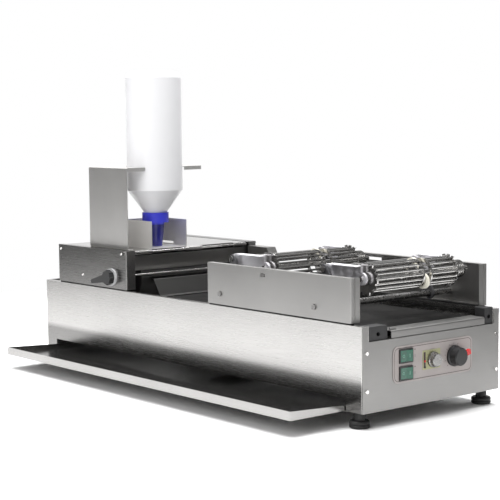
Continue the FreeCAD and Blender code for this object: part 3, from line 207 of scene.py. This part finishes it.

# The sheet steel parts are all the same stainless steel: their tones are set part by part as
# painted light and shade, to match the light that each part gets.
steel_side = brushed("steel_side", "x", grey(0.47), 0.26, contrast=0.03, foot=painted_foot_reflection)
steel_end = brushed("steel_end", "y", grey(0.29), 0.44)
steel_turner = brushed("steel_turner", "x", grey(0.38), 0.36)
steel_head = brushed("steel_head", "x", grey(0.26), 0.28)
steel_holder = brushed("steel_holder", "z", grey(0.66), 0.48)
steel_lid = brushed("steel_lid", "y", grey(0.50), 0.22)
steel_box = brushed("steel_box", "z", grey(0.85), 0.55)
steel_inner = brushed("steel_inner", "y", grey(0.28), 0.36)
# The transfer slide stands in shade, so its steel has a very dark tone: painted shade.
steel_painted_shade = brushed("steel_painted_shade", "y", grey(0.07), 0.34)
steel_tray = brushed("steel_tray", "x", grey(0.34), 0.24)
steel_bright = machined("steel_bright", grey(0.72), 0.14)
steel_rod = machined("steel_rod", grey(0.55), 0.16)
steel_dark = machined("steel_dark", grey(0.20), 0.32)
steel_dull = machined("steel_dull", grey(0.30), 0.30)
aluminium = machined("aluminium", (0.80, 0.79, 0.82), 0.58, scale=90.0)
drum_skin = used_plate("drum_skin", grey(0.06), 0.36, gloss=0.4)
plate_skin = used_plate("plate_skin", grey(0.018), 0.45, gloss=0.05)


# Plastics and printed films

def plastic(name, tone, rough, coat=0.0, grain=0.15, clouding=0.9):
    """Moulded plastic with a fine grain and slight clouding."""
    material, tree, shader = new_material(name)
    grit = noise(tree, same_all_ways, scale=700.0, detail=2.0)
    clouds = noise(tree, same_all_ways, scale=30.0, detail=2.0, shift=2.0)
    dark = [part * clouding for part in tone]
    blend_colours(tree, spread(tree, clouds, 0, 1), dark, tone, shader.inputs["Base Color"])
    tree.links.new(spread(tree, grit, rough * 0.85, rough * 1.15), shader.inputs["Roughness"])
    shader.inputs["Coat Weight"].default_value = coat
    bump(tree, grit, strength=grain, depth=0.15 * mm, shader=shader)
    return material


painted = plastic("painted", (0.08, 0.08, 0.085), 0.45)
black_block = plastic("black_block", (0.020, 0.020, 0.021), 0.42)
black_knob = plastic("black_knob", (0.010, 0.010, 0.011), 0.36)
rubber = plastic("rubber", (0.014, 0.014, 0.014), 0.6, grain=0.4)
bottle_white = plastic("bottle_white", (0.77, 0.77, 0.785), 0.36, coat=0.1, grain=0.05,
                       clouding=0.985)
cap_blue = plastic("cap_blue", (0.045, 0.055, 0.74), 0.32, coat=0.15)
spout_blue = plastic("spout_blue", (0.010, 0.012, 0.20), 0.32, coat=0.15)
nylon = plastic("nylon", (0.82, 0.79, 0.68), 0.42)
bush_grey = plastic("bush_grey", (0.50, 0.50, 0.51), 0.40)
film_panel = plastic("film_panel", (0.36, 0.325, 0.315), 0.42)
film_dial = plastic("film_dial", (0.36, 0.36, 0.20), 0.40)
ink = plastic("ink", (0.05, 0.035, 0.035), 0.5)
ink_pale = plastic("ink_pale", (0.16, 0.36, 0.28), 0.5)
red = plastic("red", (0.60, 0.015, 0.015), 0.30, coat=0.2)


def key_with_painted_glow():
    """Clear green plastic of the rocker keys, with a faint painted glow."""
    material, tree, shader = new_material("rocker_green")
    clouds = noise(tree, same_all_ways, scale=120.0)
    dark, light = (0.0, 0.055, 0.032), (0.003, 0.085, 0.05)
    blend_colours(tree, spread(tree, clouds, 0, 1), dark, light, shader.inputs["Base Color"])
    shader.inputs["Roughness"].default_value = 0.16
    shader.inputs["Coat Weight"].default_value = 0.3
    # Painted light: a faint glow that brightens the clear green keys
    shader.inputs["Emission Color"].default_value = (0.0, 0.30, 0.15, 1)
    shader.inputs["Emission Strength"].default_value = 0.05
    return material


rocker_green = key_with_painted_glow()


# Finish of each part

finishes = {
    steel_side: ("base_shell", "rear_cowl"),
    steel_end: ("front_panel", "exit_slide"),
    steel_turner: ("turner_plate_near", "turner_plate_far", "chain_guard", "batter_trough"),
    steel_head: ("head_plate_near", "head_plate_far", "head_rear_cover"),
    steel_holder: ("bottle_holder",),
    steel_lid: ("lid",),
    steel_box: ("feed_box",),
    steel_tray: ("drip_tray",),
    steel_painted_shade: ("transfer_slide",),
    steel_inner: ("bulkheads", "tray_runners", "hotplate_crossbars",
                  "bearing_shelves", "motor_shelf"),
    steel_bright: ("fixings", "hinge_rod", "peel_bar", "pivot_shafts"),
    steel_dull: ("tie_rods", "speed_knob"),
    steel_rod: ("drum_shaft", "rear_axle", "front_axle", "rear_cage", "front_cage", "motor_drive",
                "drive_chain", "hotplate_heaters", "drum_heaters"),
    aluminium: ("rear_arms", "front_arms"),
    drum_skin: ("drum",),
    plate_skin: ("hotplate",),
    painted: ("gear_motor", "uprights"),
    rubber: ("feet", "seat_strips"),
    black_block: ("slide_blocks", "bearing_blocks", "trough_lever", "panel_controls"),
    black_knob: ("thermostat_knob", "switch_bodies"),
    rocker_green: ("rocker_upper", "rocker_lower"),
    bottle_white: ("bottle",),
    cap_blue: ("bottle_cap",),
    nylon: ("rear_rings", "front_rings"),
    bush_grey: ("lever_bush",),
    film_panel: ("control_plate",),
    film_dial: ("dial_plate",),
    red: ("knob_pointer",),
}
for material, names in finishes.items():
    for name in names:
        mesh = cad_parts[name].data
        mesh.materials.clear()
        mesh.materials.append(material)


def paint_part(name, material, wanted):
    """Gives a second finish to the faces of a part whose corners meet a condition."""
    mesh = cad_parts[name].data
    mesh.materials.append(material)
    for face in mesh.polygons:
        if wanted([mesh.vertices[index].co for index in face.vertices]):
            face.material_index = 1


# The spout below the cap's collar stands in the shade of the feed box, so its blue is darker
collar_height = 24.0
spout_top = edge("bottle_cap", 2, far) - collar_height


def on_spout(corners):
    """Whether all corners of a face lie below the collar."""
    return max(spot.z for spot in corners) < at(0, 0, spout_top).z


paint_part("bottle_cap", spout_blue, on_spout)


sharp_angle = math.radians(40)
moulded_edge = 0.3
sheet_edge = 0.8


def soften(name, width):
    """Rounds the sharp edges of a part a little, so that they catch the light."""
    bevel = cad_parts[name].modifiers.new("soft_edges", "BEVEL")
    bevel.width = width * mm
    bevel.segments = 2
    bevel.limit_method = "ANGLE"
    bevel.angle_limit = sharp_angle


for name in ("front_panel", "control_plate", "slide_blocks", "bearing_blocks", "thermostat_knob"):
    soften(name, moulded_edge)
for name in ("turner_plate_near", "turner_plate_far", "head_plate_near", "head_plate_far"):
    soften(name, sheet_edge)


# Helpers for the small pieces

def new_piece(name, mesh, material, body):
    """A small piece of the scene that rides a body."""
    obj = bpy.data.objects.new(name, mesh)
    bpy.context.collection.objects.link(obj)
    obj.data.materials.append(material)
    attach(obj, body)
    return obj


def turned(name, profile, place, axis, body, material, sides=32):
    """A round piece from a profile of (radius, height) pairs, standing on a place along an axis."""
    turn = Vector(axis).to_track_quat("Z", "Y").to_matrix().to_4x4()
    to_place = Matrix.Translation(place) @ turn
    shape = bmesh.new()
    rings = []
    for radius, height in profile:
        ring = []
        for index in range(sides):
            angle = 2 * math.pi * index / sides
            spot = Vector((radius * math.cos(angle), radius * math.sin(angle), height)) * mm
            ring.append(shape.verts.new(to_place @ spot))
        rings.append(ring)
    for lower, upper in zip(rings, rings[1:]):
        for index in range(sides):
            after = (index + 1) % sides
            shape.faces.new((lower[index], lower[after], upper[after], upper[index]))
    shape.faces.new(list(reversed(rings[0])))
    shape.faces.new(rings[-1])
    mesh = bpy.data.meshes.new(name)
    shape.to_mesh(mesh)
    shape.free()
    return new_piece(name, mesh, material, body)


def slab(name, outline, thickness, place, across, upward, body, material):
    """A flat piece: an outline of (across, up) pairs in millimetres, raised off a surface."""
    out = Vector(across).cross(Vector(upward))
    shape = bmesh.new()
    low = []
    for u, v in outline:
        low.append(shape.verts.new(place + (Vector(across) * u + Vector(upward) * v) * mm))
    high = [shape.verts.new(spot.co + out * thickness * mm) for spot in low]
    shape.faces.new(list(reversed(low)))
    shape.faces.new(high)
    count = len(outline)
    for index in range(count):
        after = (index + 1) % count
        shape.faces.new((low[index], low[after], high[after], high[index]))
    mesh = bpy.data.meshes.new(name)
    shape.to_mesh(mesh)
    shape.free()
    return new_piece(name, mesh, material, body)


def bar_outline(width, height):
    """A rectangle round the middle, as (across, up) pairs."""
    return [(-width / 2, -height / 2), (width / 2, -height / 2), (width / 2, height / 2),
            (-width / 2, height / 2)]


def ring_outline(radius, sides):
    """A circle round the middle, as (across, up) pairs."""
    angles = [2 * math.pi * index / sides for index in range(sides)]
    return [(radius * math.cos(angle), radius * math.sin(angle)) for angle in angles]


# Open cages: the discs and rods of the CAD part, with its two inner discs shown as open rims

# Discs are thinner than disc_width, and the end discs lie within end_zone of the cage's ends
disc_width = 3.5
rim_width = 6.0
end_zone = 20.0
rim_sides = 48


def islands(shape):
    """The separate pieces of a mesh, each as a list of its corners."""
    seen = set()
    for first in shape.verts:
        if first in seen:
            continue
        seen.add(first)
        piece = [first]
        for spot in piece:
            for line in spot.link_edges:
                other = line.other_vert(spot)
                if other not in seen:
                    seen.add(other)
                    piece.append(other)
        yield piece


def open_cage(node):
    """Shows a rod cage with rims in place of its inner discs and with dark end discs."""
    low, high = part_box(node)
    middle_x = (low.x + high.x) / 2
    middle_z = (low.z + high.z) / 2
    shape = bmesh.new()
    shape.from_mesh(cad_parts[node].data)
    bmesh.ops.remove_doubles(shape, verts=shape.verts, dist=0.001 * mm)
    rims = []
    for piece in list(islands(shape)):
        start = min(spot.co.y for spot in piece)
        stop = max(spot.co.y for spot in piece)
        if stop - start > disc_width * mm:
            continue
        if start - low.y > end_zone * mm and high.y - stop > end_zone * mm:
            rims.append((start, stop, max(spot.co.x for spot in piece) - middle_x))
            bmesh.ops.delete(shape, geom=piece, context="VERTS")
        else:
            for face in {face for spot in piece for face in spot.link_faces}:
                face.material_index = 1
    for start, stop, radius in rims:
        add_rim(shape, Vector((middle_x, start, middle_z)), stop - start, radius)
    mesh = bpy.data.meshes.new(node + "_open")
    shape.to_mesh(mesh)
    shape.free()
    piece = new_piece(node + "_open", mesh, steel_rod, node)
    piece.data.materials.append(steel_dark)
    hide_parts(node)


def add_rim(shape, centre, width, radius):
    """Adds a flat open ring round the cage's axis."""
    hole = radius - rim_width * mm
    rows = []
    for distance, shift in ((radius, 0), (radius, width), (hole, width), (hole, 0)):
        row = []
        for index in range(rim_sides):
            angle = 2 * math.pi * index / rim_sides
            spot = Vector((distance * math.cos(angle), shift, distance * math.sin(angle)))
            row.append(shape.verts.new(centre + spot))
        rows.append(row)
    for first, second in zip(rows, rows[1:] + rows[:1]):
        for index in range(rim_sides):
            after = (index + 1) % rim_sides
            shape.faces.new((first[index], second[index], second[after], first[after]))


for node in ("rear_cage", "front_cage"):
    open_cage(node)


# Small screws on the two side plates of the batter head

# Places as (x, z), and the outline of a pan head with its hollow as (radius, height)
screw_places = ((64.6, 224.7), (296.5, 227.0), (150.4, 174.0))
screw_profile = ((3.4, -0.4), (3.4, 1.0), (2.6, 1.9), (1.5, 2.2), (1.4, 1.3))


def head_screws():
    """The same screws on the outer faces of both side plates."""
    sides = (("near", head_near_face, (0, -1, 0)), ("far", head_far_face, (0, 1, 0)))
    for side, face, axis in sides:
        for index, (x, z) in enumerate(screw_places):
            name = f"head_screw_{side}_{index}"
            turned(name, screw_profile, at(x, face, z), axis, "housing", steel_bright)


head_screws()


# Marks on the control plate

outward = (1, 0, 0)
to_right = (0, 1, 0)
up = (0, 0, 1)
mark_depth = 0.12


def plate_line():
    """Thin printed line round the control plate, just inside its edge."""
    inset = 3.0
    width = 0.9
    corner_radius = 9.0
    low_y = edge("control_plate", 1, near) + inset + corner_radius
    high_y = edge("control_plate", 1, far) - inset - corner_radius
    low_z = edge("control_plate", 2, near) + inset + corner_radius
    high_z = edge("control_plate", 2, far) - inset - corner_radius
    steps = 8
    centres = ((high_y, high_z, 0), (low_y, high_z, 90), (low_y, low_z, 180), (high_y, low_z, 270))
    shape = bmesh.new()
    inner = []
    outer = []
    for y, z, start in centres:
        for step in range(steps + 1):
            angle = math.radians(start + 90 * step / steps)
            for loop, radius in ((inner, corner_radius - width), (outer, corner_radius)):
                across = radius * math.cos(angle)
                above = radius * math.sin(angle)
                loop.append(shape.verts.new(at(plate_face + mark_depth, y + across, z + above)))
    count = len(inner)
    for index in range(count):
        after = (index + 1) % count
        shape.faces.new((inner[index], outer[index], outer[after], inner[after]))
    mesh = bpy.data.meshes.new("plate_line")
    shape.to_mesh(mesh)
    shape.free()
    new_piece("plate_line", mesh, ink, "housing")


plate_line()


def plate_mark(name, y, z, outline, material, face=plate_face):
    """A thin printed mark on the control end."""
    slab(name, outline, mark_depth, at(face, y, z), to_right, up, "housing", material)


# Beside each switch, a dot above a short dash
switch_y = centre_line("switch_bodies", 1)
switch_heights = {"upper": centre_line("rocker_upper", 2), "lower": centre_line("rocker_lower", 2)}
mark_reach = 23.0
switch_mark_y = switch_y + mark_reach
dot_rise = 9.0
dash_drop = 2.0
dot = ring_outline(1.3, 16)
dash = bar_outline(1.0, 5.0)
for side, z in switch_heights.items():
    plate_mark(f"switch_dot_{side}", switch_mark_y, z + dot_rise, dot, ink)
    plate_mark(f"switch_dash_{side}", switch_mark_y, z - dash_drop, dash, ink)

tick_width = 0.7


def scale_ticks(name, y, z, radius, length, first, last, count, face):
    """Short lines round a knob, from the first angle to the last, clockwise from the top."""
    for index in range(count):
        angle = math.radians(first + (last - first) * index / (count - 1))
        outside = Vector((0, math.sin(angle), math.cos(angle)))
        aside = Vector((0, math.cos(angle), -math.sin(angle)))
        place = at(face, y, z) + outside * radius * mm
        tick = bar_outline(tick_width, length)
        slab(f"{name}_{index}", tick, mark_depth, place, aside, outside, "housing", ink)


thermostat_y = centre_line("thermostat_knob", 1)
thermostat_z = centre_line("thermostat_knob", 2)
scale_ticks("heat_tick", thermostat_y, thermostat_z, radius=22.5, length=3.0, first=-135, last=135,
            count=11, face=plate_face)
scale_ticks("speed_tick", centre_line("speed_knob", 1), centre_line("speed_knob", 2), radius=15.6,
            length=1.6, first=-100, last=100, count=9, face=dial_face)


def knob_ribs():
    """Fine grip ribs round the black knob."""
    count = 16
    rib_length = 11.5
    rib_width = 1.4
    rib_height = 0.9
    rib_root = 16.3
    rib_setback = 8.0
    rib = bar_outline(rib_length, rib_width)
    rib_x = edge("thermostat_knob", 0, far) - rib_setback
    for index in range(count):
        angle = 2 * math.pi * (index + 0.5) / count
        outside = Vector((0, math.cos(angle), math.sin(angle)))
        aside = outside.cross(Vector(outward))
        place = at(rib_x, thermostat_y, thermostat_z) + outside * rib_root * mm
        slab(f"knob_rib_{index}", rib, rib_height, place, outward, -aside, "thermostat_knob",
             black_knob)


knob_ribs()


def dial_strip():
    """Dark strip at the left of the dial plate with a red and a black lamp."""
    margin = 3.0
    side_inset = 4.5
    strip_width = 5.0
    strip_y = edge("dial_plate", 1, near) + side_inset
    strip_z = centre_line("dial_plate", 2)
    height = edge("dial_plate", 2, far) - edge("dial_plate", 2, near) - 2 * margin
    plate_mark("dial_strip", strip_y, strip_z, bar_outline(strip_width, height), ink, dial_face)
    lamp_profile = ((2.0, -0.2), (2.0, 0.6), (1.4, 1.2), (0.6, 1.4))
    lamp_y = strip_y + 1.0
    lamps = (("dial_lamp_red", 2.2, red), ("dial_lamp_dark", 12.8, black_knob))
    for name, drop, material in lamps:
        place = at(dial_face, lamp_y, strip_z - drop)
        turned(name, lamp_profile, place, outward, "housing", material)


dial_strip()


# Raised marks on the rocker keys: a bar on the right half, a ring on the left

rocker_reach = 6.8
middle_depth = 1.5 * mark_depth
key_bar = bar_outline(1.0, 6.5)
key_ring = ring_outline(2.6, 24)
key_ring_middle = ring_outline(1.8, 24)


def key_face(node, y, z):
    """The place on a key's front where a line along X meets it, and the face's normal."""
    clear_of_keys = end_face + 60
    shape = bmesh.new()
    shape.from_mesh(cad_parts[node].data)
    tree = BVHTree.FromBMesh(shape)
    place, normal, _, _ = tree.ray_cast(at(clear_of_keys, y, z), -Vector(outward))
    shape.free()
    return place, normal


def key_mark(name, side, y, outline, depth, material):
    """A mark that lies on the slope of one key and rides its body."""
    place, normal = key_face("rocker_" + side, y, switch_heights[side])
    aside = Vector(up).cross(normal).normalized()
    slab(f"{name}_{side}", outline, depth, place, aside, up, side + "_rocker", material)


for side in switch_heights:
    key_mark("key_bar", side, switch_y + rocker_reach, key_bar, mark_depth, ink_pale)
    key_mark("key_ring", side, switch_y - rocker_reach, key_ring, mark_depth, ink_pale)
    key_mark("key_ring_middle", side, switch_y - rocker_reach, key_ring_middle, middle_depth,
             rocker_green)


# Camera at the place that the photo was taken from

camera_place = at(2740.906, -1680.352, 508.426)
camera_azimuth = math.radians(50.345)
camera_elevation = math.radians(5.336)
camera_roll = math.radians(-0.614)
focal_pixels = 1435.08
frame_pixels = 500.0
forward = Vector((-math.sin(camera_azimuth) * math.cos(camera_elevation),
                  math.cos(camera_azimuth) * math.cos(camera_elevation),
                  -math.sin(camera_elevation)))


def make_camera():
    """A camera with the photograph's place, direction, roll and field of view."""
    right = forward.cross(Vector(up)).normalized()
    upward = right.cross(forward)
    across = right * math.cos(camera_roll) + upward * math.sin(camera_roll)
    above = upward * math.cos(camera_roll) - right * math.sin(camera_roll)
    data = bpy.data.cameras.new("camera")
    data.sensor_width = 36.0
    data.lens = data.sensor_width * focal_pixels / frame_pixels
    data.clip_start = 0.05
    camera = bpy.data.objects.new("camera", data)
    bpy.context.collection.objects.link(camera)
    turn = Matrix((across, above, -forward)).transposed().to_4x4()
    camera.matrix_world = Matrix.Translation(camera_place) @ turn
    bpy.context.scene.camera = camera


make_camera()


# Stage: a pale floor, two soft lights, and a sky that is white behind the object

def flat_material(name, value):
    """A plain grey without shine."""
    material, _, shader = new_material(name)
    shader.inputs["Base Color"].default_value = (value, value, value, 1)
    shader.inputs["Roughness"].default_value = 0.8
    shader.inputs["Specular IOR Level"].default_value = 0.0
    return material


def make_floor(centre, size, turn, material):
    """A flat floor, turned about Z by an angle in degrees."""
    bpy.ops.mesh.primitive_plane_add(size=1.0)
    obj = bpy.context.object
    obj.name = "floor"
    obj.scale = (*size, 1)
    obj.location = centre
    obj.rotation_euler = (0, 0, math.radians(turn))
    obj.data.materials.append(material)


def soft_light(name, centre, size, target, power):
    """A large area light that faces a target."""
    data = bpy.data.lights.new(name, "AREA")
    data.shape = "RECTANGLE"
    data.size, data.size_y = size
    data.energy = power
    light = bpy.data.objects.new(name, data)
    light.location = centre
    light.rotation_euler = (Vector(target) - Vector(centre)).to_track_quat("-Z", "Y").to_euler()
    bpy.context.collection.objects.link(light)


floor_tone = flat_material("floor_tone", 0.88)
middle = Vector((0, 0, 0.15))

# The floor ends short on the tray side, so that the near side plates mirror the dark sky past it
make_floor(centre=(0.314, -0.453, 0), size=(4.3, 2.637), turn=-20, material=floor_tone)
soft_light("overhead", centre=(-0.2, 0.1, 2.7), size=(3.0, 2.6), target=middle, power=212)
soft_light("front", centre=(1.6, -3.4, 2.2), size=(2.4, 1.8), target=middle, power=65)


def cone_share(tree, direction, axis, full_angle, end_angle):
    """One for directions within the full angle of an axis, falling to nothing at the end angle."""
    aligned = tree.nodes.new("ShaderNodeVectorMath")
    aligned.operation = "DOT_PRODUCT"
    aligned.inputs[1].default_value = Vector(axis).normalized()
    tree.links.new(direction, aligned.inputs[0])
    full = math.cos(math.radians(full_angle))
    end = math.cos(math.radians(end_angle))
    return spread(tree, aligned.outputs["Value"], 0, 1, end, full)


def make_sky():
    """White behind the object, dark where its near side plates look, and dim elsewhere."""
    tray_side = (-0.78, -0.62, 0.1)
    bright = (1, 1, 1)
    dim = (0.25, 0.25, 0.25)
    dark = (0.01, 0.01, 0.01)
    world = bpy.context.scene.world or bpy.data.worlds.new("world")
    bpy.context.scene.world = world
    world.use_nodes = True
    tree = world.node_tree
    direction = tree.nodes.new("ShaderNodeTexCoord").outputs["Generated"]
    background = tree.nodes["Background"]
    dark_share = cone_share(tree, direction, tray_side, full_angle=28, end_angle=55)
    blend_colours(tree, dark_share, dim, dark, background.inputs["Color"])
    darkened = background.inputs["Color"].links[0].from_socket
    bright_share = cone_share(tree, direction, forward, full_angle=24, end_angle=46)
    backdrop = tree.nodes.new("ShaderNodeMix")
    backdrop.data_type = "RGBA"
    backdrop.inputs["B"].default_value = (*bright, 1)
    tree.links.new(bright_share, backdrop.inputs["Factor"])
    tree.links.new(darkened, backdrop.inputs["A"])
    tree.links.new(backdrop.outputs["Result"], background.inputs["Color"])


make_sky()
bpy.context.scene.view_settings.view_transform = "Standard"
